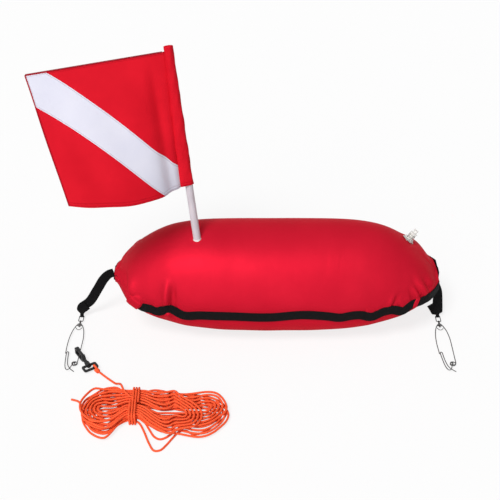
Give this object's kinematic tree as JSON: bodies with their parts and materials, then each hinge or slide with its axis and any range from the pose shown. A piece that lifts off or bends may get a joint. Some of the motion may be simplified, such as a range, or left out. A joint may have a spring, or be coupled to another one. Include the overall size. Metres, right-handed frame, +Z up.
{
  "type": "dive flag float",
  "caption": "Inflated red nylon towing float with a diver-down flag on a pole, an inflation valve, swivel wire clips on webbing straps, and a snap hook with a hank of line.",
  "frame": {"origin": "on the float's flat resting face, under the middle of the float", "axes": "+X along the float towards the valve end, +Y towards its back, away from the line, +Z up"},
  "size_m": [0.9878, 0.6523, 0.6836],
  "materials": {
    "nylon_red": "woven nylon with a soft sheen",
    "bladder_film": "plastic film",
    "webbing_black": "woven webbing",
    "pole_plastic": "milky tube",
    "flag_red": "woven cloth",
    "flag_white": "woven cloth",
    "clear_plastic": "clear soft plastic",
    "steel_wire": "drawn wire",
    "black_plastic": "moulded",
    "rope_orange": "braided line"
  },
  "bodies": {
    "float": {"cover_top": "nylon_red", "cover_bottom": "nylon_red", "bladder": "bladder_film", "edge_webbing_front": "webbing_black", "edge_webbing_back": "webbing_black", "pole_socket": "bladder_film", "valve_base": "clear_plastic", "valve_collar": "clear_plastic"},
    "pole": {"flag_pole": "pole_plastic", "pole_plug": "black_plastic", "pole_cap": "black_plastic"},
    "flag": {"flag_sleeve": "flag_red", "flag_field_upper": "flag_red", "flag_stripe": "flag_white", "flag_field_lower": "flag_red", "flag_hem": "flag_red", "flag_stiffener": "pole_plastic"},
    "cap": {"valve_cap": "clear_plastic"},
    "flap": {"valve_flap": "clear_plastic"},
    "left_strap": {"strap_left": "webbing_black"},
    "right_strap": {"strap_right": "webbing_black"},
    "left_swivel": {"swivel_eye_left": "steel_wire"},
    "right_swivel": {"swivel_eye_right": "steel_wire"},
    "left_clip": {"clip_frame_left": "steel_wire", "swivel_guard_left": "steel_wire"},
    "right_clip": {"clip_frame_right": "steel_wire", "swivel_guard_right": "steel_wire"},
    "left_arm": {"clip_arm_left": "steel_wire"},
    "right_arm": {"clip_arm_right": "steel_wire"},
    "hook": {"hook_body": "black_plastic"},
    "gate": {"hook_gate": "black_plastic"},
    "line": {"hook_loop": "black_plastic", "rope_knot": "rope_orange", "rope_lead": "rope_orange", "rope_hank": "rope_orange", "rope_tie": "rope_orange", "rope_tail": "rope_orange"}
  },
  "joints": [
    {"name": "pole_lift", "type": "slide", "parent": "float", "child": "pole", "axis": [-0.125, 0.2563, 0.9585], "range_m": [0, 0.085]},
    {"name": "flag_turn", "type": "hinge", "parent": "pole", "child": "flag", "pos_m": [-0.189, -0.034, 0.2397], "axis": [-0.125, 0.2563, 0.9585], "continuous": true},
    {"name": "valve_cap_pull", "type": "slide", "parent": "float", "child": "cap", "axis": [0.6317, 0.1926, 0.7509], "range_m": [0, 0.012]},
    {"name": "valve_flap_open", "type": "hinge", "parent": "float", "child": "flap", "pos_m": [0.30824, 0.02755, 0.19051], "axis": [-0.124, 0.9813, -0.1474], "range_deg": [0, 40], "stiffness_Nm_per_rad": 0.0002, "springref_deg": -17.19},
    {"name": "left_strap_swing", "type": "hinge", "parent": "float", "child": "left_strap", "pos_m": [-0.39867, 0, 0.11804], "axis": [0, 0, 1], "range_deg": [-80, 10]},
    {"name": "right_strap_lift", "type": "hinge", "parent": "float", "child": "right_strap", "pos_m": [0.39882, 0, 0.12704], "axis": [0, -1, 0], "range_deg": [0, 80]},
    {"name": "left_eye_rock", "type": "hinge", "parent": "left_strap", "child": "left_swivel", "pos_m": [-0.48385, -0.03102, 0.00565], "axis": [-0.9994, 0.0349, 0], "range_deg": [0, 50]},
    {"name": "right_eye_rock", "type": "hinge", "parent": "right_strap", "child": "right_swivel", "pos_m": [0.4045, -0.032, 0.00565], "axis": [-1, 0, 0], "range_deg": [0, 50]},
    {"name": "left_clip_spin", "type": "hinge", "parent": "left_swivel", "child": "left_clip", "pos_m": [-0.485, -0.064, 0.00565], "axis": [-0.0349, -0.9994, 0], "continuous": true},
    {"name": "right_clip_spin", "type": "hinge", "parent": "right_swivel", "child": "right_clip", "pos_m": [0.4045, -0.065, 0.00565], "axis": [0, -1, 0], "continuous": true},
    {"name": "left_arm_open", "type": "hinge", "parent": "left_clip", "child": "left_arm", "pos_m": [-0.4787, -0.20726, 0.00565], "axis": [0, 0, -1], "range_deg": [0, 12], "stiffness_Nm_per_rad": 0.1, "springref_deg": -11.46},
    {"name": "right_arm_open", "type": "hinge", "parent": "right_clip", "child": "right_arm", "pos_m": [0.4158, -0.20796, 0.00565], "axis": [0, 0, -1], "range_deg": [0, 12], "stiffness_Nm_per_rad": 0.1, "springref_deg": -11.46},
    {"name": "hook_swing", "type": "hinge", "parent": "left_clip", "child": "hook", "pos_m": [-0.47112, -0.17656, 0.00565], "axis": [-0.0349, -0.9994, 0], "range_deg": [0, 120]},
    {"name": "hook_gate_open", "type": "hinge", "parent": "hook", "child": "gate", "pos_m": [-0.46115, -0.19172, 0.017], "axis": [-0.8356, -0.5494, 0], "range_deg": [0, 20], "stiffness_Nm_per_rad": 0.02, "springref_deg": -17.19},
    {"name": "hook_loop_spin", "type": "hinge", "parent": "hook", "child": "line", "pos_m": [-0.44958, -0.20931, 0.0076], "axis": [0.5494, -0.8356, 0], "continuous": true}
  ]
}
